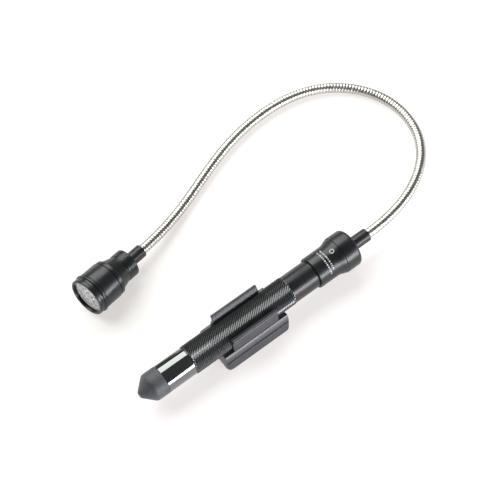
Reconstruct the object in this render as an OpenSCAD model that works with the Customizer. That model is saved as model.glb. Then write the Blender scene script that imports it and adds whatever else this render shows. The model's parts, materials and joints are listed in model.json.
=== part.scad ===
// Bendable LED work light in a magnetic clip holder. Millimetres, +Z up.
// The barrel lies along X with its bell end at +X. The holder's magnetic face is on Z = 0,
// and the origin is the middle of that face.

/* [Holder] */
// Height of the barrel's axis above the magnetic face
axis_z = 14; // [13.8:0.1:15]
// Length of the holder's foot
base_len = 46; // [40:1:56]
// Width of the foot on the surface that it holds to
base_w = 31; // [30:0.5:34]
// Length of the spring clip
clip_len = 33; // [24:1:38]
// Wall of the spring clip
clip_wall = 2.1; // [1.8:0.1:2.4]
// Angle above the horizontal at which the clip's arms stop hugging the grip
clip_open = 41; // [30:1:42]
// Width of the magnet bar
magnet_w = 20; // [14:1:22]

/* [Barrel] */
// Diameter of the knurled grip
grip_d = 18.5; // [18.4:0.1:19]
// Length of the knurled grip
grip_len = 73.3; // [73.3:0.1:75]
// Diameter of the smooth part of the tube and of the tail cap
tube_d = 17.9; // [17.8:0.1:18.2]
// Length of the smooth part in front of the grip
nose_len = 18.5; // [18.5:0.1:20]
// Bore for the cells
bore_d = 15; // [14.9:0.1:15.2]
// Diameter of the collar behind the bell
collar_d = 20.4; // [20.2:0.1:21]
// Length of the collar
collar_len = 12.8; // [12:0.1:13]
// Length of the flare between collar and bell
flare_len = 6.7; // [6:0.1:8]
// Largest diameter of the bell
bell_d = 24.2; // [24:0.1:25]
// Length of the bell
bell_len = 10.6; // [10:0.1:12]

/* [Tail] */
// Length of the polished tail cap
cap_len = 19.2; // [19:0.1:21]
// Length of the rubber boot
boot_len = 15.8; // [15.6:0.1:17]
// Travel of the push button
press = 1.5; // [1:0.1:1.6]
// Wire diameter of the battery spring
spring_wire = 0.8; // [0.6:0.1:0.9]
// Coils in the battery spring
spring_turns = 5; // [4:1:6]

/* [Neck] */
// Diameter of the bendable neck
neck_d = 6.6; // [6.4:0.1:6.7]
// Length of each neck section
link_len = 42; // [41:0.5:43]
// Sideways bend of each neck section, from the barrel to the head
link_turn = [21, 38, 48, 49, 26, 17, 3, -12]; // [-50:1:50]
// Rise of each neck section at its start
link_rise = [-2, -6.5, -7, 0, 0, 0, 0, 7]; // [-8:0.5:8]
// Diameter of the two-core lead inside the neck
lead_d = 2.4; // [2:0.1:2.6]
// Diameter of the ferrules that grip the neck's ends
ferrule_d = 8.5; // [8.4:0.1:9]
// Length of the barrel's ferrule outside the bell
ferrule_len = 12.9; // [12:0.1:14]

/* [Head] */
// Length of the head from its ferrule's mouth to the bezel's face
head_len = 47; // [47:0.1:48]
// Diameter of the head's main cylinder
head_d = 24.6; // [24.4:0.1:25]
// Diameter of the bezel's fin
fin_d = 25.8; // [25.4:0.1:26]
// Diameter of the clear opening in the bezel
window_d = 21.2; // [20:0.1:21.4]
// Number of LEDs around the middle one
led_count = 6; // [5:1:6]
// Diameter of each LED
led_d = 5; // [4.6:0.1:5]

/* [Hidden] */

$fn = 64;
black_anodised = [0.06, 0.06, 0.07];
polished_black = [0.03, 0.03, 0.035];
black_rubber = [0.16, 0.16, 0.17];
black_plastic = [0.10, 0.10, 0.11];
bright_steel = [0.75, 0.75, 0.74];
brass = [0.80, 0.65, 0.30];

// Radii
grip_r = grip_d / 2;
tube_r = tube_d / 2;
bore_r = bore_d / 2;
collar_r = collar_d / 2;
bell_r = bell_d / 2;
ferrule_r = ferrule_d / 2;
neck_r = neck_d / 2;
head_r = head_d / 2;
window_r = window_d / 2;

// Clearances: turning in the clip, parts of one body, and parts that slide
run_gap = 0.08;
fit_gap = 0.05;
face_gap = 0.15;

// Stations along the barrel, from tail to ferrule
grip_x0 = -41.3;
grip_x1 = grip_x0 + grip_len;
collar_x = grip_x1 + nose_len;
flare_x = collar_x + collar_len;
bell_x = flare_x + flare_len;
bell_end = bell_x + bell_len;
neck_x = bell_end + ferrule_len;
cap_x = grip_x0 - cap_len;
boot_tip = cap_x - boot_len;

// Cells: two AA, end to end
cell_r = 7.2;
cell_can = 49.2;
cell_len = 50.5;
cell_gap = 0.1;
cell_x = grip_x0 + 5.3;
pin_x = cell_x + 2 * cell_len + 2 * cell_gap;

// Neck joints
stub_len = 8;
joint_gap = 1.2;
ball_r = 3.1;
socket_r = 3.35;
crimp = 0.2;
lead_bore = lead_d / 2 + 0.4;
stub_bore = neck_r + crimp + fit_gap;
links = len(link_turn);

// A straight section is drawn with a bend of one degree, which keeps its radius finite
function turn(i) = abs(link_turn[i]) < 1 ? 1 : link_turn[i];
function bend_r(i) = link_len / abs(turn(i)) * 180 / PI;

// The end of a neck section: its bend starts level with the section's own left-hand side
function ahead(h, g) = [cos(h) * cos(g), sin(h) * cos(g), sin(g)];
function left(h) = [-sin(h), cos(h), 0];
function end_dir(i) = cos(turn(i)) * ahead(heading(i), link_rise[i])
    + sin(turn(i)) * left(heading(i));
function heading(i) = i == 0 ? 0 : atan2(end_dir(i - 1).y, end_dir(i - 1).x);
function end_rise(i) = asin(end_dir(i).z);
function joint_at(i) = i == 0 ? [neck_x, 0, axis_z]
    : joint_at(i - 1)
        + bend_r(i - 1) * abs(sin(turn(i - 1))) * ahead(heading(i - 1), link_rise[i - 1])
        + bend_r(i - 1) * (1 - cos(turn(i - 1))) * sign(turn(i - 1)) * left(heading(i - 1));

// A profile of [radius, x] points turned about the X axis
module turned(points, fn = 96)
    rotate([0, 90, 0]) rotate_extrude($fn = fn) polygon(points);

module rod(r, x0, x1)
    translate([x0, 0, 0]) rotate([0, 90, 0]) cylinder(r = r, h = x1 - x0);

module ball(r)
    rotate([0, 90, 0]) sphere(r);

module ring(r, x, section)
    translate([x, 0, 0]) rotate([0, 90, 0])
        rotate_extrude($fn = 96) translate([r, 0]) circle(section, $fn = 24);

// Lifts the barrel's pieces to the axis of the clip
module on_axis()
    translate([0, 0, axis_z]) children();

module at_link(i)
    translate(joint_at(i)) rotate([0, -link_rise[i], heading(i)]) children();

module at_end(i)
    translate(joint_at(i + 1)) rotate([0, -end_rise(i), heading(i + 1)]) children();

module in_head()
    at_end(links - 1) children();

// A round rod that follows section i's bend between two distances along it
module bent_rod(i, r, from, to)
    mirror([0, turn(i) < 0 ? 1 : 0, 0])
        translate([0, bend_r(i), 0])
            rotate([0, 0, from / bend_r(i) * 180 / PI - 90])
                rotate_extrude(angle = (to - from) / bend_r(i) * 180 / PI, $fn = 180)
                    translate([bend_r(i), 0]) circle(r, $fn = 32);

// ---- Holder ----

// Cross-section of clip and foot, Y to the right and Z up, about the barrel's axis
clip_in = grip_r + run_gap;
clip_out = clip_in + clip_wall;
lip_tip = [10.5, 9.0];
lip_r = 0.95;
foot_w = base_w / 2;
slot_depth = 3.6;
slot_flare = 1;
slot_w = magnet_w / 2;

module lip(side) {
    a = clip_open;
    inner = [cos(a) * (clip_in + 0.02), sin(a) * (clip_in + 0.02)];
    outer = [cos(a - 14) * (clip_out - 0.1), sin(a - 14) * (clip_out - 0.1)];
    reach = [lip_tip.x - inner.x, lip_tip.y - inner.y];
    across = [-reach.y, reach.x] / norm(reach) * lip_r;
    mirror([side < 0 ? 1 : 0, 0]) {
        polygon([inner, outer, lip_tip - across, lip_tip + across]);
        translate(lip_tip) circle(lip_r, $fn = 32);
    }
}

// Slot for the magnet bar and its backing plate, narrower at its mouth
module slot_section() {
    mouth = slot_w + fit_gap;
    top = mouth + slot_flare;
    polygon([
        [-mouth, -axis_z - 1], [mouth, -axis_z - 1], [mouth, -axis_z],
        [top, slot_depth - axis_z], [-top, slot_depth - axis_z], [-mouth, -axis_z]
    ]);
}

module clip_section() {
    difference() {
        circle(clip_out, $fn = 128);
        circle(clip_in, $fn = 128);
        slot_section();
        polygon([[0, 0], 30 * [cos(clip_open), sin(clip_open)],
                 30 * [-cos(clip_open), sin(clip_open)]]);
    }
    lip(1);
    lip(-1);
}

module foot_section() {
    shoulder = 12.1;
    groove_z = -7;
    side = [
        [shoulder - 0.8, -2.4], [shoulder, -3.2],
        [13.3, groove_z + 0.6], [12.6, groove_z], [13.7, groove_z - 0.6],
        [foot_w, 1 - axis_z], [foot_w - 0.7, -axis_z]
    ];
    difference() {
        polygon(concat(side, [for (k = [len(side) - 1:-1:0]) [-side[k].x, side[k].y]]));
        circle(clip_in, $fn = 128);
        slot_section();
    }
}

module across_x(len)
    translate([-len / 2, 0, axis_z]) rotate([90, 0, 90]) linear_extrude(len) children();

module holder_body() {
    corner = 3.5;
    color(black_plastic) {
        across_x(clip_len) clip_section();
        intersection() {
            across_x(base_len) foot_section();
            union() {
                cube([base_len - 2 * corner, base_w + 2, 4 * axis_z], center = true);
                cube([base_len, base_w - 2 * corner, 4 * axis_z], center = true);
                for (x = [-1, 1], y = [-1, 1])
                    translate([x * (base_len / 2 - corner), y * (foot_w - corner), 0])
                        cylinder(r = corner, h = 4 * axis_z, center = true);
            }
        }
    }
}

magnet_t = 2.6;
plate_t = 0.8;
bar_len = base_len - 0.4;

module slot_bar(z0, z1) {
    w0 = slot_w + z0 * slot_flare / slot_depth;
    w1 = slot_w + z1 * slot_flare / slot_depth;
    translate([-bar_len / 2, 0, 0]) rotate([90, 0, 90]) linear_extrude(bar_len)
        polygon([[-w0, z0], [w0, z0], [w1, z1], [-w1, z1]]);
}

module magnet_bar()
    color([0.28, 0.28, 0.28]) slot_bar(0, magnet_t);

module backing_plate()
    color(bright_steel) slot_bar(magnet_t + fit_gap, magnet_t + fit_gap + plate_t);

// ---- Barrel ----

spigot_r = 8.3;
spigot_end = collar_x + 11.5;
mouth_r = 8.4;
mouth_depth = 1;

module barrel_tube()
    color(black_anodised) on_axis() turned([
        [mouth_r, grip_x0], [grip_r - 0.3, grip_x0], [grip_r, grip_x0 + 0.3],
        [grip_r, grip_x1 - 0.3], [tube_r, grip_x1],
        [tube_r, collar_x - 0.2], [spigot_r, collar_x - 0.2], [spigot_r, spigot_end],
        [bore_r, spigot_end], [bore_r, grip_x0 + mouth_depth], [mouth_r, grip_x0 + mouth_depth]
    ]);

bell_bore = 7.9;
bell_wall = 3;
seal_r = 9.3;

module bell_housing()
    color(black_anodised) on_axis() turned([
        [seal_r, collar_x], [collar_r - 0.4, collar_x], [collar_r, collar_x + 0.4],
        [collar_r, flare_x], [bell_r - 0.4, bell_x - 0.3], [bell_r, bell_x + 0.3],
        [bell_r, bell_end - 2.2], [bell_r - 0.5, bell_end - 0.9], [bell_r - 1.5, bell_end],
        [ferrule_r + fit_gap, bell_end], [ferrule_r + fit_gap, bell_end - bell_wall],
        [bell_bore, bell_end - bell_wall], [bell_bore, spigot_end + 0.2],
        [spigot_r + fit_gap, spigot_end + 0.2], [spigot_r + fit_gap, collar_x + 1.1],
        [seal_r, collar_x + 1.1]
    ]);

module bell_oring()
    color(black_rubber) on_axis() ring(8.83, collar_x + 0.55, 0.42);

module barrel_ferrule()
    color(black_anodised) on_axis() turned([
        [lead_bore, bell_end - 7], [6.5, bell_end - 7], [6.5, bell_end - bell_wall - 0.1],
        [ferrule_r, bell_end - bell_wall - 0.1],
        [ferrule_r, neck_x - 0.4], [ferrule_r - 0.4, neck_x],
        [stub_bore, neck_x], [stub_bore, neck_x - stub_len - 0.2],
        [lead_bore, neck_x - stub_len - 0.2]
    ]);

module contact_carrier()
    color([0.85, 0.82, 0.72]) on_axis() turned([
        [1.55, pin_x + 0.7], [bell_bore - 0.1, pin_x + 0.7], [bell_bore - 0.1, pin_x + 3.7],
        [1.55, pin_x + 3.7]
    ]);

module contact_pin()
    color(brass) on_axis() turned([
        [0, pin_x], [3, pin_x], [3, pin_x + 0.6], [1.5, pin_x + 0.6],
        [1.5, pin_x + 4.6], [0, pin_x + 4.6]
    ]);

module cell(x)
    on_axis() turned([
        [0, x], [4.5, x], [4.5, x + 0.3], [cell_r - 0.5, x + 0.3], [cell_r, x + 0.8],
        [cell_r, x + cell_can - 0.6], [cell_r - 0.6, x + cell_can], [2.7, x + cell_can],
        [2.7, x + cell_len - 0.3], [2.4, x + cell_len], [0, x + cell_len]
    ]);

module battery_rear()
    color([0.55, 0.42, 0.22]) cell(cell_x);

module battery_front()
    color([0.55, 0.42, 0.22]) cell(cell_x + cell_len + cell_gap);

// ---- Tail ----

plug_r = bore_r - 0.05;
plug_end = cell_x - 0.6;
cap_bore = 6.3;
cap_hole = 5.3;
cap_wall = 1.8;
switch_x0 = cap_x + 3.3;
switch_x1 = switch_x0 + 11.2;

module tail_oring()
    color(black_rubber) on_axis() ring(7.93, grip_x0 + 0.5, 0.4);

module tail_cap()
    color(polished_black) on_axis() turned([
        [cap_hole, cap_x], [tube_r - 0.2, cap_x], [tube_r, cap_x + 0.2],
        [tube_r, grip_x0 - face_gap - 0.2], [tube_r - 0.2, grip_x0 - face_gap],
        [plug_r, grip_x0 - face_gap], [plug_r, plug_end - 0.3], [plug_r - 0.3, plug_end],
        [cap_bore, plug_end], [cap_bore, cap_x + cap_wall], [cap_hole, cap_x + cap_wall]
    ]);

plunger_r = 2;
plunger_x0 = cap_x - 2.8;
plunger_x1 = cap_x + 5;

module switch_body()
    color([0.12, 0.12, 0.13]) on_axis() turned([
        [plunger_r + 0.1, switch_x0], [cap_bore - 0.1, switch_x0], [cap_bore - 0.1, switch_x1],
        [0, switch_x1], [0, plunger_x1 + press + 1.5], [plunger_r + 0.1, plunger_x1 + press + 1.5]
    ]);

module switch_retainer()
    color(bright_steel) on_axis() turned([
        [4.6, switch_x1 + 0.1], [cap_bore - 0.1, switch_x1 + 0.1],
        [cap_bore - 0.1, switch_x1 + 2.1], [4.6, switch_x1 + 2.1]
    ]);

// A coil spring swept as one closed skin: rings of points along a helix
spring_r = 3.6;
spring_x0 = switch_x1 + 0.1 + spring_wire / 2;
spring_x1 = cell_x - 0.2 - spring_wire / 2;
spring_steps = 20;
spring_sides = 8;

module battery_spring() {
    rings = spring_turns * spring_steps;
    pitch = (spring_x1 - spring_x0) / rings;
    points = [
        for (k = [0:rings], s = [0:spring_sides - 1])
            let (turn = 360 * k / spring_steps, round = 360 * s / spring_sides,
                 r = spring_r + spring_wire / 2 * cos(round))
            [spring_x0 + pitch * k + spring_wire / 2 * sin(round), r * cos(turn), r * sin(turn)]
    ];
    sides = [
        for (k = [0:rings - 1], s = [0:spring_sides - 1])
            let (a = k * spring_sides + s,
                 b = k * spring_sides + (s + 1) % spring_sides)
            [a, b, b + spring_sides, a + spring_sides]
    ];
    last = rings * spring_sides;
    caps = [
        [for (s = [spring_sides - 1:-1:0]) s],
        [for (s = [0:spring_sides - 1]) last + s]
    ];
    color(bright_steel) on_axis() polyhedron(points, concat(sides, caps));
}

// The boot is one rubber moulding; its clamped skirt and its moving cone are two solids
skirt_end = cap_x - 6.7;
cone_x = skirt_end - press - 0.3;
boot_wall = 1.9;

module boot_skirt()
    color(black_rubber) on_axis() turned([
        [3.2, cap_x - 1.6], [tube_r - boot_wall, cap_x - 1.6], [tube_r - boot_wall, skirt_end],
        [tube_r, skirt_end], [tube_r, cap_x - 0.05], [cap_hole - 0.1, cap_x - 0.05],
        [cap_hole - 0.1, cap_x + cap_wall + 0.1], [cap_bore - 0.2, cap_x + cap_wall + 0.1],
        [cap_bore - 0.2, switch_x0 - 0.1], [3.2, switch_x0 - 0.1]
    ]);

module boot_button()
    color(black_rubber) on_axis() turned([
        [0, boot_tip], [2, boot_tip + 0.2], [3.3, boot_tip + 0.9], [4.1, boot_tip + 2],
        [8.5, cone_x - 0.3], [tube_r - 0.15, cone_x],
        [tube_r - boot_wall, cone_x], [3.4, boot_tip + 3.6], [2.6, boot_tip + 3.6],
        [2.6, plunger_x0 - 0.1], [0, plunger_x0 - 0.1]
    ]);

module switch_plunger()
    color([0.7, 0.1, 0.1]) on_axis() rod(plunger_r, plunger_x0, plunger_x1);

// ---- Neck ----

module neck_link(n) {
    i = n - 1;
    first = i == 0;
    last = i == links - 1;
    color(bright_steel) difference() {
        union() {
            at_link(i) bent_rod(i, neck_r, first ? -1 : joint_gap,
                                link_len + (last ? 1 : -joint_gap));
            if (first) translate(joint_at(i)) rod(neck_r + crimp, -stub_len, -0.5);
            if (last) at_end(i) rod(neck_r + crimp, 0.5, stub_len);
            if (!last) at_end(i) ball(ball_r);
        }
        if (!first) at_link(i) ball(socket_r);
        at_link(i) bent_rod(i, lead_bore, first ? -1 : 0, link_len + stub_len + 1);
        if (first) translate(joint_at(i)) rod(lead_bore + 0.1, -stub_len - 1, -0.6);
    }
}

module neck_lead(n) {
    i = n - 1;
    first = i == 0;
    last = i == links - 1;
    lead_r = lead_d / 2;
    color([0.75, 0.15, 0.12]) {
        at_link(i) bent_rod(i, lead_r, first ? -3 : socket_r + 0.3,
                            link_len + (last ? stub_len + 1 : ball_r - 0.3));
        if (first) translate(joint_at(i)) rod(lead_r + 0.15, pin_x + 4.8 - neck_x, -2);
        if (last) at_end(i) rod(lead_r + 0.15, stub_len + 0.6, stub_len + 7.4);
    }
}

// ---- Head, from its ferrule's mouth (X = 0) to the bezel's face ----

body_x0 = head_len - 35.6;
cone_x0 = body_x0 + 6.8;
cone_x1 = cone_x0 + 8.2;
drum_x0 = cone_x1 + 3.1;
drum_x1 = head_len - 6.2;
thread_x = head_len - 3;
thread_r = 11.15;
rear_r = 9.1;
shell_r = 10.2;

module head_ferrule()
    color(black_anodised) in_head() turned([
        [stub_bore, 0], [ferrule_r - 0.4, 0], [ferrule_r, 0.4],
        [ferrule_r, body_x0 + 2.6], [6, body_x0 + 2.6], [6, body_x0 + 4.4],
        [lead_bore, body_x0 + 4.4], [lead_bore, stub_len + 0.2], [stub_bore, stub_len + 0.2]
    ]);

module head_body() {
    groove_step = 1.5;
    grooves = [
        for (k = [1:3], p = [[0, -0.35], [-0.3, 0], [0, 0.35]])
            [rear_r + p[0], body_x0 + 0.6 + k * groove_step + p[1]]
    ];
    color(black_anodised) in_head() turned(concat(
        [[ferrule_r + fit_gap, body_x0], [rear_r - 0.5, body_x0], [rear_r, body_x0 + 0.5]],
        grooves,
        [
            [rear_r, cone_x0 - 0.3], [8.6, cone_x0], [10.9, cone_x1],
            [11.9, cone_x1 + 0.1], [11.9, cone_x1 + 2.4], [11.3, cone_x1 + 2.5],
            [11.3, drum_x0 - 0.1], [head_r - 0.2, drum_x0], [head_r, drum_x0 + 0.2],
            [head_r, drum_x1 - 0.2], [head_r - 0.2, drum_x1], [thread_r, drum_x1],
            [thread_r, thread_x], [shell_r, thread_x], [shell_r, cone_x1 + 1],
            [7.2, cone_x0 + 2], [7.2, body_x0 + 2.5], [ferrule_r + fit_gap, body_x0 + 2.5]
        ]
    ));
}

module bezel()
    color(black_anodised) in_head() turned([
        [thread_r + fit_gap, drum_x1 + 0.1], [head_r - 0.1, drum_x1 + 0.1],
        [head_r - 0.1, head_len - 5.3], [fin_d / 2, head_len - 5.1],
        [fin_d / 2, head_len - 4.2], [11.9, head_len - 4], [11.9, head_len - 2.3],
        [head_r - 0.2, head_len - 2], [head_r, head_len - 1.6], [head_r, head_len - 0.6],
        [head_r - 0.5, head_len], [window_r + 0.5, head_len], [window_r, head_len - 0.7],
        [window_r, head_len - 1.1], [thread_r + fit_gap, head_len - 1.1]
    ]);

module lens()
    color([0.9, 0.95, 1, 0.4]) in_head() rod(thread_r, head_len - 2.25, head_len - 1.15);

module lens_oring()
    color(black_rubber) in_head() ring(10.68, head_len - 2.64, 0.32);

// Places the LEDs: one in the middle and the rest on a circle
led_r = led_d / 2;
led_ring = 6.4;
board_x = head_len - 11.3;
cup_x = board_x + 2.4;
cup_face = head_len - 3.2;

module led_places() {
    children();
    for (k = [0:led_count - 1])
        rotate([360 * k / led_count, 0, 0]) translate([0, 0, led_ring]) children();
}

module reflector()
    color([0.9, 0.9, 0.92]) in_head() difference() {
        rod(shell_r - 0.1, cup_x, cup_face);
        led_places() {
            rod(led_r + 0.1, cup_x - 1, cup_face + 1);
            turned([[0, cup_face - 3], [led_r + 0.2, cup_face - 3], [3.1, cup_face + 0.1],
                    [0, cup_face + 0.1]]);
        }
    }

module leds()
    color([0.95, 0.95, 0.85]) in_head() led_places() {
        rod(led_r, board_x + 1.7, cup_face - led_r);
        translate([cup_face - led_r, 0, 0]) sphere(led_r - 0.02);
    }

module led_board()
    color([0.05, 0.25, 0.12]) in_head() rod(shell_r - 0.2, board_x, board_x + 1.6);

module lamp_wires()
    color([0.75, 0.15, 0.12]) in_head()
        for (side = [-1, 1])
            translate([0, side * 0.7, 0]) rod(0.6, stub_len + 7.6, board_x - 0.1);

holder_body();
magnet_bar();
backing_plate();
barrel_tube();
bell_housing();
bell_oring();
barrel_ferrule();
contact_carrier();
contact_pin();
battery_rear();
battery_front();
tail_oring();
tail_cap();
switch_body();
switch_retainer();
battery_spring();
boot_skirt();
boot_button();
switch_plunger();
for (n = [1:links]) {
    neck_link(n);
    neck_lead(n);
}
head_ferrule();
head_body();
bezel();
lens();
lens_oring();
reflector();
leds();
led_board();
lamp_wires();
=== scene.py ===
import bisect
import json
import math

import bmesh
import bpy
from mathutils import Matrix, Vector


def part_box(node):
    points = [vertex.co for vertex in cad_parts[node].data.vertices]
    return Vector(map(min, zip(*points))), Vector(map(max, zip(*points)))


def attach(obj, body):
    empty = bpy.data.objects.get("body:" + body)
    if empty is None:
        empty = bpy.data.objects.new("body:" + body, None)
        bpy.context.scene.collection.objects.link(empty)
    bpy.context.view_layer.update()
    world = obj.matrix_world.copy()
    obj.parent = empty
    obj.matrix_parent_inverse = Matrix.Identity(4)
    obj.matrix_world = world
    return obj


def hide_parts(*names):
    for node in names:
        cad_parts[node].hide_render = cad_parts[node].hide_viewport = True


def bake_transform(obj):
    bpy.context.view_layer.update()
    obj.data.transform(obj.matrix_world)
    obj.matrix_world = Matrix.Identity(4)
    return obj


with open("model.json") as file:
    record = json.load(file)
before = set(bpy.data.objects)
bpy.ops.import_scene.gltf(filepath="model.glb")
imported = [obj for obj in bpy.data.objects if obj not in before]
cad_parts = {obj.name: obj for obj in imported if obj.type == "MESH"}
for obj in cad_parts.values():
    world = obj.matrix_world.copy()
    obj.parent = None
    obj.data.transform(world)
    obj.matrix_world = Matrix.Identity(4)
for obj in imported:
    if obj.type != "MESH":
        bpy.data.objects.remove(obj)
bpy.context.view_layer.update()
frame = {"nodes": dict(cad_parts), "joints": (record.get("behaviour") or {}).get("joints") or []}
mm = 0.001
print("frame loaded:", len(frame["nodes"]), "nodes")


pivots = {j["name"]: Vector(j["pos_m"]) for j in frame["joints"] if "pos_m" in j}
axisHeight = pivots["barrel_turn"].z


def middleOf(node):
    low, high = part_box(node)
    return (low + high) / 2


def startOf(node):
    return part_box(node)[0].x / mm


def endOf(node):
    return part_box(node)[1].x / mm


def radiusOf(node):
    low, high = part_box(node)
    return (high.z - low.z) / 2 / mm


barrelFrom = Vector((0, 0, axisHeight))
barrelAlong = Vector((1, 0, 0))
gripStart = startOf("barrel_tube")
collarStart = startOf("bell_housing")
bellEnd = endOf("bell_housing")
neckStart = endOf("barrel_ferrule")
capStart = startOf("tail_cap")
bootTip = startOf("boot_button")

# the head's axis runs through the middles of its board and its lens
headAlong = (middleOf("lens") - middleOf("led_board")).normalized()
lensFromMouth = 45.3  # mm from the neck's end of the head to the middle of the lens
headFrom = middleOf("lens") - headAlong * lensFromMouth * mm


def putInScene(name, data):
    thing = bpy.data.objects.new(name, data)
    bpy.context.scene.collection.objects.link(thing)
    return thing


def aimAt(thing, place, target):
    # a camera and a light both look along their own -Z
    thing.location = place
    thing.rotation_mode = "QUATERNION"
    thing.rotation_quaternion = (Vector(target) - thing.location).to_track_quat("-Z", "Y")


cameraSettings = {
    "place": (-0.2559, -0.3285, 0.8505),
    "looksAt": (0.0367, 0.0412, 0.0),
    "lens": 115.2,
    "sensor": 36,
}
cameraData = bpy.data.cameras.new("camera")
cameraData.lens = cameraSettings["lens"]
cameraData.sensor_width = cameraSettings["sensor"]
camera = putInScene("camera", cameraData)
aimAt(camera, cameraSettings["place"], cameraSettings["looksAt"])
bpy.context.scene.camera = camera
print("camera placed")


def addPiece(name, points, faces, material, body, sharpAt=32, turnedAt=None):
    mesh = bpy.data.meshes.new(name)
    mesh.from_pydata([tuple(p) for p in points], [], faces)
    if turnedAt:
        # distance along the axis, angle round it, and the radius or the height of the neck's wire
        places = mesh.attributes.new("turnedAt", "FLOAT_VECTOR", "POINT")
        places.data.foreach_set("vector", [value for place in turnedAt for value in place])
    shaper = bmesh.new()
    shaper.from_mesh(mesh)
    bmesh.ops.recalc_face_normals(shaper, faces=shaper.faces)
    shaper.to_mesh(mesh)
    shaper.free()
    mesh.shade_smooth()
    mesh.set_sharp_from_angle(angle=math.radians(sharpAt))
    mesh.materials.append(material)
    piece = putInScene(name, mesh)
    if body:
        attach(piece, body)
    return piece


def rounded(corners, steps=5):
    # a corner's third value is the radius that it is rounded to
    outline = []
    for i, corner in enumerate(corners):
        here = Vector(corner[:2])
        if len(corner) < 3:
            outline.append(here)
            continue
        toBefore = Vector(corners[i - 1][:2]) - here
        toAfter = Vector(corners[(i + 1) % len(corners)][:2]) - here
        half = toBefore.angle(toAfter) / 2
        room = 0.49 * min(toBefore.length, toAfter.length)
        cut = min(corner[2] / math.tan(half), room)
        middle = here + (toBefore.normalized() + toAfter.normalized()).normalized() * cut / math.cos(half)
        first = here + toBefore.normalized() * cut - middle
        last = here + toAfter.normalized() * cut - middle
        sweep = first.angle(last)
        for k in range(steps + 1):
            share = k / steps
            arm = first * math.sin((1 - share) * sweep) + last * math.sin(share * sweep)
            outline.append(middle + arm / math.sin(sweep))
    return outline


def ringQuads(rings, sides, closed=True):
    # quads between rings of points, and from the last ring back to the first where closed
    quads = []
    for i in range(rings if closed else rings - 1):
        here, following = i * sides, (i + 1) % rings * sides
        for j in range(sides):
            k = (j + 1) % sides
            quads.append([here + j, here + k, following + k, following + j])
    return quads


def axesOf(along):
    side = Vector((0, 0, 1)).cross(along).normalized()
    return along, side, along.cross(side)


def turnedPiece(name, outline, origin, along, material, body, sides=96, sharpAt=32):
    # turns a closed outline of (distance, radius) pairs, in millimetres, about an axis
    ahead, side, up = axesOf(along)
    points, places, rings, faces = [], [], [], []
    for distance, radius in outline:
        count = sides if radius > 1e-6 else 1
        rings.append([len(points) + j for j in range(count)])
        for j in range(count):
            turn = 2 * math.pi * j / sides
            outward = side * math.cos(turn) + up * math.sin(turn)
            points.append(origin + (ahead * distance + outward * radius) * mm)
            places.append((distance * mm, turn, radius * mm))
    for i, ring in enumerate(rings):
        following = rings[(i + 1) % len(rings)]
        if len(ring) == 1 and len(following) == 1:
            continue
        for j in range(sides):
            k = (j + 1) % sides
            corners = [ring[j % len(ring)], ring[k % len(ring)],
                       following[k % len(following)], following[j % len(following)]]
            faces.append(list(dict.fromkeys(corners)))
    return addPiece(name, points, faces, material, body, sharpAt, places)


def blankMaterial(name):
    material = bpy.data.materials.new(name)
    material.use_nodes = True
    tree = material.node_tree
    tree.nodes.clear()
    return material, tree.nodes, tree.links


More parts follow.
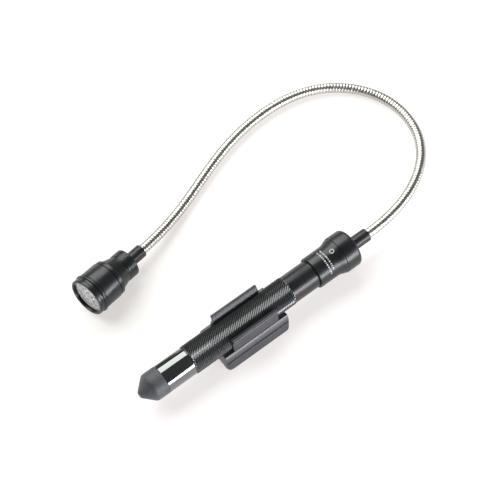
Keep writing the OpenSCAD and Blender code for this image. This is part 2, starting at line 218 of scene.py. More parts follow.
def metalSkin(name, look):
    # metal with a clouded colour, lathe rings and a fine grain, and a second colour: wear with a painted
    # highlight on sharp edges, painted shade in hollows and wire grooves
    material, nodes, links = blankMaterial(name)

    # the colour frame's second colour is wear with a painted highlight on edges, and painted shade in
    # hollows and grooves
    colourFrame = nodes.new("NodeFrame")
    colourFrame.label = "clouded colour and worn places"
    glossFrame = nodes.new("NodeFrame")
    glossFrame.label = "uneven gloss"
    markFrame = nodes.new("NodeFrame")
    markFrame.label = "turning marks and grain"

    coordinates = nodes.new("ShaderNodeTexCoord")
    clouds = nodes.new("ShaderNodeTexNoise")
    cloudColour = nodes.new("ShaderNodeValToRGB")
    shape = nodes.new("ShaderNodeNewGeometry")
    wearAndShadingShare = nodes.new("ShaderNodeMapRange")
    wearAndShadingMix = nodes.new("ShaderNodeMix")
    stretch = nodes.new("ShaderNodeMapping")
    smears = nodes.new("ShaderNodeTexNoise")
    glossRange = nodes.new("ShaderNodeMapRange")
    turned = nodes.new("ShaderNodeAttribute")
    turnedParts = nodes.new("ShaderNodeSeparateXYZ")
    rings = nodes.new("ShaderNodeTexNoise")
    grain = nodes.new("ShaderNodeTexNoise")
    ringBump = nodes.new("ShaderNodeBump")
    grainBump = nodes.new("ShaderNodeBump")
    shader = nodes.new("ShaderNodeBsdfPrincipled")
    output = nodes.new("ShaderNodeOutputMaterial")
    for node, label, home, place in (
        (coordinates, "place on the part", None, (-1500, 100)),
        (clouds, "clouds in the finish", colourFrame, (-1000, 420)),
        (cloudColour, "deep to thin", colourFrame, (-780, 420)),
        (shape, "finds the edges", colourFrame, (-1000, 180)),
        (wearAndShadingShare, "how worn or shaded", colourFrame, (-780, 180)),
        (wearAndShadingMix, "worn over clouded", colourFrame, (-480, 380)),
        (stretch, "draws the smears out", glossFrame, (-1220, -60)),
        (smears, "smears and scratches", glossFrame, (-1000, -60)),
        (glossRange, "smoother to duller", glossFrame, (-780, -60)),
        (turned, "distance, angle, height", markFrame, (-1440, -400)),
        (turnedParts, "parts them", markFrame, (-1220, -400)),
        (rings, "lathe rings", markFrame, (-1000, -400)),
        (grain, "grain", markFrame, (-1000, -640)),
        (ringBump, "height of the rings", markFrame, (-760, -400)),
        (grainBump, "height of the grain", markFrame, (-520, -500)),
        (shader, "metal", None, (-160, 120)),
        (output, "surface", None, (160, 120)),
    ):
        node.label = label
        node.parent = home
        node.location = place

    for texture, scale, detail in (
        (clouds, look["cloudScale"], 4), (smears, 1, 5), (rings, look["ringsPerMetre"], 3),
        (grain, look["grainScale"], 2),
    ):
        texture.inputs["Scale"].default_value = scale
        texture.inputs["Detail"].default_value = detail
    stops = cloudColour.color_ramp.elements
    stops[0].position = 0.3
    stops[0].color = (*look["deep"], 1)
    stops[1].position = 0.7
    stops[1].color = (*look["thin"], 1)
    wearAndShadingShare.inputs["From Min"].default_value = look["wearAndShadingBetween"][0]
    wearAndShadingShare.inputs["From Max"].default_value = look["wearAndShadingBetween"][1]
    wearAndShadingShare.inputs["To Max"].default_value = look["wearAndShadingMost"]
    wearAndShadingMix.data_type = "RGBA"
    wearAndShadingMix.inputs[7].default_value = (*look["wearAndShading"], 1)
    stretch.inputs["Scale"].default_value = look["smearScale"]
    glossRange.inputs["From Min"].default_value = 0.3
    glossRange.inputs["From Max"].default_value = 0.7
    glossRange.inputs["To Min"].default_value = look["roughness"][0]
    glossRange.inputs["To Max"].default_value = look["roughness"][1]
    turned.attribute_name = "turnedAt"
    rings.noise_dimensions = "1D"
    ringBump.inputs["Strength"].default_value = look["ringStrength"]
    ringBump.inputs["Distance"].default_value = 0.00003
    grainBump.inputs["Strength"].default_value = look["grainStrength"]
    grainBump.inputs["Distance"].default_value = look["grainHeight"]
    shader.inputs["Metallic"].default_value = look["metallic"]
    shader.inputs["Coat Weight"].default_value = look["coat"]
    shader.inputs["Coat Roughness"].default_value = 0.05
    shader.inputs["Coat IOR"].default_value = look["coatIor"]

    # the second colour follows sharp edges for wear with a painted highlight, hollows for painted shade,
    # and on the neck's wire the low places between turns for painted shade
    wearAndShadingBy = turnedParts.outputs["Z"] if look["shadeByWireHeight"] else shape.outputs["Pointiness"]
    links.new(coordinates.outputs["Object"], clouds.inputs["Vector"])
    links.new(clouds.outputs["Fac"], cloudColour.inputs["Fac"])
    links.new(turned.outputs["Vector"], turnedParts.inputs["Vector"])
    links.new(wearAndShadingBy, wearAndShadingShare.inputs["Value"])
    links.new(wearAndShadingShare.outputs["Result"], wearAndShadingMix.inputs[0])
    links.new(cloudColour.outputs["Color"], wearAndShadingMix.inputs[6])
    links.new(wearAndShadingMix.outputs[2], shader.inputs["Base Color"])
    links.new(coordinates.outputs["Object"], stretch.inputs["Vector"])
    links.new(stretch.outputs["Vector"], smears.inputs["Vector"])
    links.new(smears.outputs["Fac"], glossRange.inputs["Value"])
    links.new(glossRange.outputs["Result"], shader.inputs["Roughness"])
    links.new(turnedParts.outputs["X"], rings.inputs["W"])
    links.new(coordinates.outputs["Object"], grain.inputs["Vector"])
    links.new(rings.outputs["Fac"], ringBump.inputs["Height"])
    links.new(grain.outputs["Fac"], grainBump.inputs["Height"])
    links.new(ringBump.outputs["Normal"], grainBump.inputs["Normal"])
    links.new(grainBump.outputs["Normal"], shader.inputs["Normal"])
    links.new(shader.outputs["BSDF"], output.inputs["Surface"])
    return material


def mouldedPlastic(name, look):
    # moulded surface: slight ripple, hairline scratches and a mottled colour
    material, nodes, links = blankMaterial(name)

    colourFrame = nodes.new("NodeFrame")
    colourFrame.label = "flow marks in the colour"
    glossFrame = nodes.new("NodeFrame")
    glossFrame.label = "smears and hairlines"
    rippleFrame = nodes.new("NodeFrame")
    rippleFrame.label = "moulding ripple"

    coordinates = nodes.new("ShaderNodeTexCoord")
    flow = nodes.new("ShaderNodeTexNoise")
    flowColour = nodes.new("ShaderNodeValToRGB")
    smears = nodes.new("ShaderNodeTexNoise")
    stretch = nodes.new("ShaderNodeMapping")
    scratches = nodes.new("ShaderNodeTexNoise")
    together = nodes.new("ShaderNodeMath")
    glossRange = nodes.new("ShaderNodeMapRange")
    ripple = nodes.new("ShaderNodeTexNoise")
    rippleBump = nodes.new("ShaderNodeBump")
    scratchBump = nodes.new("ShaderNodeBump")
    shader = nodes.new("ShaderNodeBsdfPrincipled")
    output = nodes.new("ShaderNodeOutputMaterial")
    for node, label, home, place in (
        (coordinates, "place on the part", None, (-1400, 100)),
        (flow, "flow of the melt", colourFrame, (-1000, 420)),
        (flowColour, "dark to less dark", colourFrame, (-780, 420)),
        (smears, "finger smears", glossFrame, (-1000, 80)),
        (stretch, "draws the scratches out", glossFrame, (-1200, -160)),
        (scratches, "hairline scratches", glossFrame, (-1000, -160)),
        (together, "smears with scratches", glossFrame, (-780, 0)),
        (glossRange, "gloss range", glossFrame, (-600, 0)),
        (ripple, "ripple of the mould", rippleFrame, (-1000, -460)),
        (rippleBump, "height of the ripple", rippleFrame, (-700, -460)),
        (scratchBump, "depth of the scratches", rippleFrame, (-460, -400)),
        (shader, "moulded plastic", None, (-180, 120)),
        (output, "surface", None, (140, 120)),
    ):
        node.label = label
        node.parent = home
        node.location = place

    for texture, scale, detail in (
        (flow, 60, 3), (smears, 55, 4), (scratches, 1, 3), (ripple, look["rippleScale"], 2),
    ):
        texture.inputs["Scale"].default_value = scale
        texture.inputs["Detail"].default_value = detail
    flow.inputs["Distortion"].default_value = 1.5
    stops = flowColour.color_ramp.elements
    stops[0].position = 0.35
    stops[0].color = (*look["dark"], 1)
    stops[1].position = 0.7
    stops[1].color = (*look["light"], 1)
    stretch.inputs["Rotation"].default_value = (0.3, 0.2, 0.5)
    stretch.inputs["Scale"].default_value = (120, 3000, 3000)
    together.operation = "MULTIPLY"
    glossRange.inputs["From Min"].default_value = 0.15
    glossRange.inputs["From Max"].default_value = 0.4
    glossRange.inputs["To Min"].default_value = look["roughness"][0]
    glossRange.inputs["To Max"].default_value = look["roughness"][1]
    rippleBump.inputs["Strength"].default_value = look["rippleStrength"]
    rippleBump.inputs["Distance"].default_value = 0.00008
    scratchBump.inputs["Strength"].default_value = 0.05
    scratchBump.inputs["Distance"].default_value = 0.00001
    shader.inputs["IOR"].default_value = look["ior"]
    shader.inputs["Coat Weight"].default_value = look["coat"]
    shader.inputs["Coat Roughness"].default_value = 0.06
    shader.inputs["Transmission Weight"].default_value = look["clear"]

    links.new(coordinates.outputs["Object"], flow.inputs["Vector"])
    links.new(flow.outputs["Fac"], flowColour.inputs["Fac"])
    links.new(flowColour.outputs["Color"], shader.inputs["Base Color"])
    links.new(coordinates.outputs["Object"], smears.inputs["Vector"])
    links.new(coordinates.outputs["Object"], stretch.inputs["Vector"])
    links.new(stretch.outputs["Vector"], scratches.inputs["Vector"])
    links.new(smears.outputs["Fac"], together.inputs[0])
    links.new(scratches.outputs["Fac"], together.inputs[1])
    links.new(together.outputs["Value"], glossRange.inputs["Value"])
    links.new(glossRange.outputs["Result"], shader.inputs["Roughness"])
    links.new(coordinates.outputs["Object"], ripple.inputs["Vector"])
    links.new(ripple.outputs["Fac"], rippleBump.inputs["Height"])
    links.new(scratches.outputs["Fac"], scratchBump.inputs["Height"])
    links.new(rippleBump.outputs["Normal"], scratchBump.inputs["Normal"])
    links.new(scratchBump.outputs["Normal"], shader.inputs["Normal"])
    links.new(shader.outputs["BSDF"], output.inputs["Surface"])
    return material


def softRubber(name, look):
    # matte rubber with a fine sandy skin and a bloom of dust
    material, nodes, links = blankMaterial(name)

    colourFrame = nodes.new("NodeFrame")
    colourFrame.label = "bloom on the rubber"
    skinFrame = nodes.new("NodeFrame")
    skinFrame.label = "sandy skin"

    coordinates = nodes.new("ShaderNodeTexCoord")
    bloom = nodes.new("ShaderNodeTexNoise")
    dust = nodes.new("ShaderNodeTexNoise")
    bloomColour = nodes.new("ShaderNodeValToRGB")
    dustShare = nodes.new("ShaderNodeMapRange")
    dustMix = nodes.new("ShaderNodeMix")
    roughRange = nodes.new("ShaderNodeMapRange")
    skin = nodes.new("ShaderNodeTexVoronoi")
    swell = nodes.new("ShaderNodeTexNoise")
    swellBump = nodes.new("ShaderNodeBump")
    skinBump = nodes.new("ShaderNodeBump")
    shader = nodes.new("ShaderNodeBsdfPrincipled")
    output = nodes.new("ShaderNodeOutputMaterial")
    for node, label, home, place in (
        (coordinates, "place on the part", None, (-1300, 100)),
        (bloom, "patches of bloom", colourFrame, (-1000, 420)),
        (dust, "specks of dust", colourFrame, (-1000, 180)),
        (bloomColour, "clean to bloomed", colourFrame, (-780, 420)),
        (dustShare, "only the highest specks", colourFrame, (-780, 180)),
        (dustMix, "dust over the bloom", colourFrame, (-480, 360)),
        (roughRange, "touched to dry", colourFrame, (-480, 120)),
        (skin, "grains of the mould", skinFrame, (-1000, -160)),
        (swell, "slight unevenness", skinFrame, (-1000, -420)),
        (swellBump, "height of the unevenness", skinFrame, (-760, -420)),
        (skinBump, "height of the grains", skinFrame, (-500, -260)),
        (shader, "rubber", None, (-160, 120)),
        (output, "surface", None, (160, 120)),
    ):
        node.label = label
        node.parent = home
        node.location = place

    for texture, scale, detail in ((bloom, 110, 5), (dust, 2600, 2), (swell, 500, 3)):
        texture.inputs["Scale"].default_value = scale
        texture.inputs["Detail"].default_value = detail
    stops = bloomColour.color_ramp.elements
    stops[0].position = 0.3
    stops[0].color = (*look["clean"], 1)
    stops[1].position = 0.75
    stops[1].color = (*look["bloomed"], 1)
    dustShare.inputs["From Min"].default_value = 0.66
    dustShare.inputs["From Max"].default_value = 0.8
    dustShare.inputs["To Max"].default_value = 0.25
    dustMix.data_type = "RGBA"
    dustMix.inputs[7].default_value = (*look["dust"], 1)
    roughRange.inputs["To Min"].default_value = look["roughness"][0]
    roughRange.inputs["To Max"].default_value = look["roughness"][1]
    skin.inputs["Scale"].default_value = 3800
    swellBump.inputs["Strength"].default_value = 0.25
    swellBump.inputs["Distance"].default_value = 0.0001
    skinBump.inputs["Strength"].default_value = look["grainStrength"]
    skinBump.inputs["Distance"].default_value = 0.00005
    shader.inputs["IOR"].default_value = 1.5
    shader.inputs["Sheen Weight"].default_value = look["sheen"]
    shader.inputs["Sheen Roughness"].default_value = 0.5

    links.new(coordinates.outputs["Object"], bloom.inputs["Vector"])
    links.new(coordinates.outputs["Object"], dust.inputs["Vector"])
    links.new(bloom.outputs["Fac"], bloomColour.inputs["Fac"])
    links.new(dust.outputs["Fac"], dustShare.inputs["Value"])
    links.new(dustShare.outputs["Result"], dustMix.inputs[0])
    links.new(bloomColour.outputs["Color"], dustMix.inputs[6])
    links.new(dustMix.outputs[2], shader.inputs["Base Color"])
    links.new(bloom.outputs["Fac"], roughRange.inputs["Value"])
    links.new(roughRange.outputs["Result"], shader.inputs["Roughness"])
    links.new(coordinates.outputs["Object"], skin.inputs["Vector"])
    links.new(coordinates.outputs["Object"], swell.inputs["Vector"])
    links.new(swell.outputs["Fac"], swellBump.inputs["Height"])
    links.new(skin.outputs["Distance"], skinBump.inputs["Height"])
    links.new(swellBump.outputs["Normal"], skinBump.inputs["Normal"])
    links.new(skinBump.outputs["Normal"], shader.inputs["Normal"])
    links.new(shader.outputs["BSDF"], output.inputs["Surface"])
    return material


# what the black finishes share: wear with a painted highlight on sharp edges, round smears and a fine
# blasted grain
blackFinish = {
    "wearAndShadingBetween": (0.52, 0.66), "shadeByWireHeight": False, "smearScale": (75, 75, 75),
    "grainScale": 9000, "grainHeight": 0.00002,
}
satinBlack = metalSkin("satin_black", {
    **blackFinish, "deep": (0.005, 0.006, 0.007), "thin": (0.010, 0.0115, 0.0125),
    "cloudScale": 90, "wearAndShading": (0.05, 0.053, 0.056), "wearAndShadingMost": 0.35, "roughness": (0.26, 0.38),
    "ringsPerMetre": 5200, "ringStrength": 0.09, "grainStrength": 0.15, "metallic": 0.1,
    "coat": 0, "coatIor": 1.5,
})
# the knurl's sharp crests take the lighter second colour: wear with a painted highlight standing in for
# the knurl's glints
gripBlack = metalSkin("grip_black", {
    **blackFinish, "deep": (0.009, 0.010, 0.012), "thin": (0.018, 0.020, 0.023),
    "cloudScale": 120, "wearAndShading": (0.09, 0.09, 0.095), "wearAndShadingMost": 0.25, "roughness": (0.27, 0.38),
    "ringsPerMetre": 3000, "ringStrength": 0.1, "grainStrength": 0.2, "metallic": 0.3,
    "coat": 0.6, "coatIor": 1.7,
})
polishedBlack = metalSkin("polished_black", {
    **blackFinish, "deep": (0.006, 0.006, 0.007), "thin": (0.011, 0.012, 0.012),
    "cloudScale": 70, "wearAndShading": (0.05, 0.05, 0.05), "wearAndShadingMost": 0.25, "roughness": (0.06, 0.13),
    "ringsPerMetre": 2400, "ringStrength": 0.04, "grainStrength": 0.03, "metallic": 0,
    "coat": 1, "coatIor": 2.1,
})
# what the bare metals share: no lathe rings and no coat, and a painted shade darkening their hollows
bareMetal = {
    "wearAndShadingBetween": (0.5, 0.4), "shadeByWireHeight": False, "ringsPerMetre": 10, "ringStrength": 0,
    "grainHeight": 0.0001, "metallic": 1, "coat": 0, "coatIor": 1.5,
}
# the neck's wire is painted darker between its turns: painted shade in the grooves
neckWire = metalSkin("neck_wire", {
    **bareMetal, "deep": (0.50, 0.485, 0.44), "thin": (0.62, 0.605, 0.56), "cloudScale": 90,
    "wearAndShading": (0.27, 0.262, 0.24), "wearAndShadingBetween": (0.75, 0.3), "wearAndShadingMost": 1,
    "shadeByWireHeight": True, "smearScale": (700, 700, 700), "roughness": (0.26, 0.38),
    "grainScale": 3000, "grainStrength": 0.1, "grainHeight": 0.00003,
})
# plain steel, brass and the reflector darken in their hollows with painted shade from the bare metals'
# settings
plainSteel = metalSkin("plain_steel", {
    **bareMetal, "deep": (0.42, 0.42, 0.42), "thin": (0.62, 0.62, 0.61), "cloudScale": 140,
    "wearAndShading": (0.2, 0.2, 0.2), "wearAndShadingMost": 0.5, "smearScale": (60, 2500, 2500),
    "roughness": (0.2, 0.38), "grainScale": 500, "grainStrength": 0.1,
})
contactBrass = metalSkin("contact_brass", {
    **bareMetal, "deep": (0.50, 0.36, 0.14), "thin": (0.75, 0.58, 0.26), "cloudScale": 140,
    "wearAndShading": (0.25, 0.17, 0.06), "wearAndShadingMost": 0.5, "smearScale": (1500, 300, 300),
    "roughness": (0.18, 0.32), "grainScale": 600, "grainStrength": 0.1,
})
reflectorSilver = metalSkin("reflector_silver", {
    **bareMetal, "deep": (0.82, 0.80, 0.83), "thin": (0.95, 0.93, 0.96), "cloudScale": 140,
    "wearAndShading": (0.5, 0.5, 0.52), "wearAndShadingMost": 0.2, "smearScale": (700, 700, 700),
    "roughness": (0.3, 0.45), "grainScale": 1500, "grainStrength": 0.3,
})
# what the moulded finishes share unless they say otherwise
plainMoulding = {"coat": 0, "ior": 1.5, "clear": 0}
holderPlastic = mouldedPlastic("holder_plastic", {
    **plainMoulding, "dark": (0.017, 0.018, 0.023), "light": (0.027, 0.029, 0.036),
    "roughness": (0.34, 0.44), "rippleScale": 260, "rippleStrength": 0.12, "ior": 1.62,
})
innerPlastic = mouldedPlastic("inner_plastic", {
    **plainMoulding, "dark": (0.03, 0.03, 0.032), "light": (0.06, 0.06, 0.064),
    "roughness": (0.45, 0.6), "rippleScale": 700, "rippleStrength": 0.3,
})
carrierPlastic = mouldedPlastic("carrier_plastic", {
    **plainMoulding, "dark": (0.55, 0.5, 0.4), "light": (0.68, 0.63, 0.52),
    "roughness": (0.4, 0.55), "rippleScale": 600, "rippleStrength": 0.25,
})
boardMask = mouldedPlastic("board_mask", {
    **plainMoulding, "dark": (0.012, 0.09, 0.035), "light": (0.02, 0.15, 0.06),
    "roughness": (0.25, 0.4), "rippleScale": 900, "rippleStrength": 0.3, "coat": 0.2,
})
cellWrap = mouldedPlastic("cell_wrap", {
    **plainMoulding, "dark": (0.30, 0.20, 0.07), "light": (0.46, 0.33, 0.13),
    "roughness": (0.22, 0.36), "rippleScale": 300, "rippleStrength": 0.2, "coat": 0.4,
})
ferrite = mouldedPlastic("ferrite", {
    **plainMoulding, "dark": (0.09, 0.09, 0.092), "light": (0.15, 0.15, 0.155),
    "roughness": (0.5, 0.68), "rippleScale": 2200, "rippleStrength": 0.6,
})
whitePrint = mouldedPlastic("white_print", {
    **plainMoulding, "dark": (0.30, 0.31, 0.29), "light": (0.50, 0.51, 0.48),
    "roughness": (0.42, 0.6), "rippleScale": 2600, "rippleStrength": 0.5,
})
lensClear = mouldedPlastic("lens_clear", {
    **plainMoulding, "dark": (0.92, 0.93, 0.95), "light": (0.99, 0.99, 1.0),
    "roughness": (0.0, 0.05), "rippleScale": 300, "rippleStrength": 0.02, "ior": 1.45, "clear": 1,
})
ledEpoxy = mouldedPlastic("led_epoxy", {
    **plainMoulding, "dark": (0.90, 0.86, 0.89), "light": (0.98, 0.95, 0.98),
    "roughness": (0.06, 0.16), "rippleScale": 300, "rippleStrength": 0.1, "clear": 0.35,
})
bootRubber = softRubber("boot_rubber", {
    "clean": (0.033, 0.035, 0.040), "bloomed": (0.068, 0.072, 0.079),
    "dust": (0.22, 0.22, 0.22), "roughness": (0.46, 0.62), "grainStrength": 0.35, "sheen": 0.1,
})
sealRubber = softRubber("seal_rubber", {
    "clean": (0.014, 0.014, 0.015), "bloomed": (0.03, 0.03, 0.031),
    "dust": (0.12, 0.12, 0.12), "roughness": (0.4, 0.55), "grainStrength": 0.2, "sheen": 0.05,
})
leadInsulation = softRubber("lead_insulation", {
    "clean": (0.38, 0.02, 0.015), "bloomed": (0.5, 0.05, 0.035),
    "dust": (0.5, 0.3, 0.28), "roughness": (0.35, 0.5), "grainStrength": 0.15, "sheen": 0.05,
})
print("materials made")


holder = {"footCorner": 3.5, "shoulder": 12.1, "grooveHeight": -7, "slotHalf": 10.05,
          "slotFlare": 1, "slotDepth": 3.6, "clipLength": 33, "clipInside": 9.33,
          "clipWall": 2.1, "openAngle": 41, "lipTip": (10.5, 9.0), "lipRound": 0.95,
          "seatEdge": 2.4, "footBevel": 0.3, "clipBevel": 0.28, "cornerSteps": 8}


def arcPoints(radius, fromAngle, toAngle, steps):
    # angles in degrees from the horizontal, in the plane across the barrel
    angles = [math.radians(fromAngle + (toAngle - fromAngle) * k / steps) for k in range(steps + 1)]
    return [Vector((radius * math.cos(a), radius * math.sin(a))) for a in angles]


def bevelled(piece, width):
    bevel = piece.modifiers.new("softened edges", "BEVEL")
    bevel.width = width * mm
    bevel.segments = 3
    bevel.limit_method = "ANGLE"
    bevel.angle_limit = math.radians(34)
    bevel.harden_normals = True


def extrudedPiece(name, section, stations, widthAt, material, body):
    # a closed section across the barrel, repeated at stations along it and cut to a half width
    count = len(section)
    points = []
    for x in stations:
        limit = widthAt(x)
        for y, z in section:
            points.append(Vector((x, max(-limit, min(limit, y)), z)) * mm + barrelFrom)
    ends = [list(range(count)), list(range(len(points) - count, len(points)))]
    faces = ends + ringQuads(len(stations), count, closed=False)
    return addPiece(name, points, faces, material, body, sharpAt=30)


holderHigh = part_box("holder_body")[1]
footEnd = holderHigh.x / mm
footHalf = holderHigh.y / mm
footBase = -axisHeight / mm
rightSide = [
    (holder["shoulder"] - 0.8, -holder["seatEdge"]), (holder["shoulder"], -3.2),
    (13.3, holder["grooveHeight"] + 0.6), (12.6, holder["grooveHeight"]),
    (13.7, holder["grooveHeight"] - 0.6), (footHalf, footBase + 1), (footHalf - 0.7, footBase),
]
slotOuter = holder["slotHalf"] + holder["slotFlare"]
slotTop = footBase + holder["slotDepth"]
seatAngle = math.degrees(math.asin(holder["seatEdge"] / holder["clipInside"]))
footSection = [Vector(p) for p in rightSide]
footSection += [Vector((holder["slotHalf"], footBase)), Vector((slotOuter, slotTop)),
                Vector((-slotOuter, slotTop)), Vector((-holder["slotHalf"], footBase))]
footSection += [Vector((-y, z)) for y, z in reversed(rightSide)]
footSection += arcPoints(holder["clipInside"], 180 + seatAngle, 360 - seatAngle, 44)


def footWidth(x):
    corner = holder["footCorner"]
    past = max(0, abs(x) - (footEnd - corner))
    return footHalf - corner + math.sqrt(max(0, corner ** 2 - past ** 2))


cornerTurns = [math.pi / 2 * k / holder["cornerSteps"] for k in range(holder["cornerSteps"] + 1)]
cornerStations = [footEnd - holder["footCorner"] * (1 - math.sin(t)) for t in cornerTurns]
footStations = [-x for x in reversed(cornerStations)] + cornerStations
foot = extrudedPiece("holder_foot", footSection, footStations, footWidth,
                     holderPlastic, "holder")
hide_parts("holder_body")
bevelled(foot, holder["footBevel"])


def clipHalf():
    # from the bottom of the seat up the inside, round the lip and down the outside
    inside, outside = holder["clipInside"], holder["clipInside"] + holder["clipWall"]
    opening = holder["openAngle"]
    tip = Vector(holder["lipTip"])
    inner = arcPoints(inside, -90, opening, 48)
    # the outside stops short of the opening, where the lip turns away
    outer = arcPoints(outside - 0.05, opening - 14, -90, 48)
    reach = (tip - inner[-1]).normalized()
    across = Vector((-reach.y, reach.x)) * holder["lipRound"]
    cap = []
    for k in range(9):
        turn = math.pi * k / 8
        cap.append(tip + across * math.cos(turn) + reach * holder["lipRound"] * math.sin(turn))
    return inner + cap + outer


rightHalf = clipHalf()
clipSection = rightHalf + [Vector((-p.x, p.y)) for p in reversed(rightHalf[1:-1])]
clipEnd = holder["clipLength"] / 2
clip = extrudedPiece("holder_clip", clipSection, [-clipEnd, clipEnd], lambda x: math.inf,
                     holderPlastic, "holder")
bevelled(clip, holder["clipBevel"])
print("holder made")


grip = {"length": 73.3, "around": 36, "rise": 1.8, "depth": 0.4, "edge": 0.6, "mouth": 8.4,
        "bore": 7.5, "noseRadius": 8.95, "spigot": 8.3, "spigotLength": 11.5}


def knurledBarrel():
    columns = grip["around"] * 2
    gripEnd = gripStart + grip["length"]
    knurlLength = grip["length"] - 2 * grip["edge"]
    radius = radiusOf("barrel_tube")
    nose, noseEnd = grip["noseRadius"], collarStart - 0.2
    rows = [(gripStart + 1, grip["mouth"], 0), (gripStart, grip["mouth"], 0),
            (gripStart, nose, 0), (gripStart + 0.3, radius - 0.15, 0)]
    # a row's third value is 0 where it is plain, and 1 and 2 by turns where it is knurled
    turns = 2 * round(knurlLength / grip["rise"])
    for k in range(turns + 1):
        rows.append((gripStart + grip["edge"] + knurlLength * k / turns, radius, 1 + k % 2))
    rows += [(gripEnd - 0.3, radius - 0.15, 0), (gripEnd, nose + 0.1, 0), (gripEnd + 0.3, nose, 0),
             (noseEnd - 0.35, nose, 0), (noseEnd - 0.1, nose - 0.08, 0), (noseEnd, nose - 0.3, 0),
             (noseEnd, grip["spigot"], 0), (collarStart + grip["spigotLength"], grip["spigot"], 0),
             (collarStart + grip["spigotLength"], grip["bore"], 0), (gripStart + 1, grip["bore"], 0)]
    points, places, faces = [], [], []
    for i, (x, r, knurl) in enumerate(rows):
        for j in range(columns):
            hollow = knurl and (knurl + j) % 2 == 0
            here = r - grip["depth"] if hollow else r
            turn = 2 * math.pi * j / columns
            points.append(barrelFrom + Vector((x, here * math.cos(turn), here * math.sin(turn))) * mm)
            places.append((x * mm, turn, here * mm))
    for a, b, c, d in ringQuads(len(rows), columns):
        if rows[a // columns][2] and rows[c // columns][2]:
            # every cell folds the same way, so ridges and grooves wind one way round
            faces += [[a, b, d], [b, c, d]]
        else:
            faces.append([a, b, c, d])
    piece = addPiece("knurled_barrel", points, faces, gripBlack, "barrel",
                     24, places)
    # the plain nose beyond the knurl has the smoother satin finish
    piece.data.materials.append(satinBlack)
    for face in piece.data.polygons:
        if face.center.x > (gripEnd - 0.2) * mm:
            face.material_index = 1
    return piece


barrel = knurledBarrel()
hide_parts("barrel_tube")

bell = {"collar": 10.2, "flareStart": 12.8, "flareLength": 6.7, "bore": 7.9, "wall": 3,
        "seal": 9.3, "ferruleHole": 4.32}
flareStart = collarStart + bell["flareStart"]
bellStart = flareStart + bell["flareLength"]
bellRadius = radiusOf("bell_housing")
bellOutline = rounded([
    (collarStart, bell["seal"]), (collarStart, bell["collar"], 0.4),
    (flareStart + 1.6, bell["collar"], 9), (bellStart - 1.1, bellRadius - 0.45, 1.5),
    (bellStart - 0.25, bellRadius - 0.5, 0.1), (bellStart, bellRadius, 0.35),
    (bellEnd, bellRadius, 2.4), (bellEnd, bell["ferruleHole"] + 0.3, 0.2),
    (bellEnd - 0.4, bell["ferruleHole"]), (bellEnd - bell["wall"], bell["ferruleHole"]),
    (bellEnd - bell["wall"], bell["bore"]), (flareStart - 1, bell["bore"]),
    (flareStart - 1, grip["spigot"] + 0.05), (collarStart + 1.1, grip["spigot"] + 0.05),
    (collarStart + 1.1, bell["seal"]),
], 7)
bellPiece = turnedPiece("bell", bellOutline, barrelFrom, barrelAlong, satinBlack,
                        "barrel", 128, 36)
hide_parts("bell_housing")

# both ends of the neck sit in a sleeve of these sizes
ferrule = {"radius": 4.25, "mouth": 3.7, "socket": 3.45, "depth": 8.2, "leadHole": 1.7,
           "collar": 6.5, "headCollar": 6}
ferruleOutline = rounded([
    (bellEnd - 3.1, ferrule["collar"]), (bellEnd - 3.1, ferrule["radius"]),
    (neckStart, ferrule["radius"], 0.45), (neckStart, ferrule["mouth"], 0.15),
    (neckStart - 0.4, ferrule["socket"]), (neckStart - ferrule["depth"], ferrule["socket"]),
    (neckStart - ferrule["depth"], ferrule["leadHole"]), (bellEnd - 7, ferrule["leadHole"]),
    (bellEnd - 7, ferrule["collar"]),
], 4)
barrelFerrule = turnedPiece("barrel_ferrule_sleeve", ferruleOutline, barrelFrom, barrelAlong,
                            satinBlack, "barrel", 72)
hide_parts("barrel_ferrule")


def markPiece(name, patches, outerRadius, lift=0.02, thick=0.03):
    # thin printed patches wrapped on the bell; each is a closed slab of (x, angle) quads
    points, faces = [], []
    for grid in patches:
        rows, columns = len(grid), len(grid[0])
        first = len(points)
        for level in (lift, lift + thick):
            for row in grid:
                for x, turn in row:
                    r = outerRadius(x) + level
                    spot = Vector((x, -r * math.sin(turn), r * math.cos(turn)))
                    points.append(barrelFrom + spot * mm)
        upper = rows * columns
        for i in range(rows - 1):
            for j in range(columns - 1):
                a = first + i * columns + j
                quad = [a, a + 1, a + columns + 1, a + columns]
                faces += [quad, [v + upper for v in reversed(quad)]]
        rim = [first + j for j in range(columns)]
        rim += [first + i * columns + columns - 1 for i in range(1, rows)]
        rim += [first + (rows - 1) * columns + j for j in range(columns - 2, -1, -1)]
        rim += [first + i * columns for i in range(rows - 2, 0, -1)]
        for a, b in zip(rim, rim[1:] + rim[:1]):
            faces.append([a, b, b + upper, a + upper])
    return addPiece(name, points, faces, whitePrint, "barrel")


def barPatch(x0, x1, turn0, turn1):
    steps = max(2, round(abs(turn1 - turn0) / 4))
    turns = [math.radians(turn0 + (turn1 - turn0) * k / steps) for k in range(steps + 1)]
    return [[(x0 + (x1 - x0) * i / 2, turn) for turn in turns] for i in range(3)]


marks = {"rowA": collarStart + 7.4, "rowB": collarStart + 9.7, "height": 0.9, "from": -30,
         "barsA": (5, 3, 8, 4, 4, 7, 3, 6, 5, 4, 8, 3), "barsB": (9, 4, 6, 12, 3, 7, 5, 4, 9),
         "gap": 3.2, "ringAt": flareStart + 2.2, "ringOn": 10.7, "ringInner": 0.95,
         "ringOuter": 1.55}


def markRow(x, bars):
    turn, patches = marks["from"], []
    for width in bars:
        patches.append(barPatch(x, x + marks["height"], turn, turn + width))
        turn += width + marks["gap"]
    return patches


def flareRadius(x):
    # the outer radius of the bell between its outline's corners
    for a, b in zip(bellOutline, bellOutline[1:]):
        if a.x <= x <= b.x and min(a.y, b.y) > bell["seal"] and b.x > a.x:
            return a.y + (b.y - a.y) * (x - a.x) / (b.x - a.x)
    return bell["collar"]


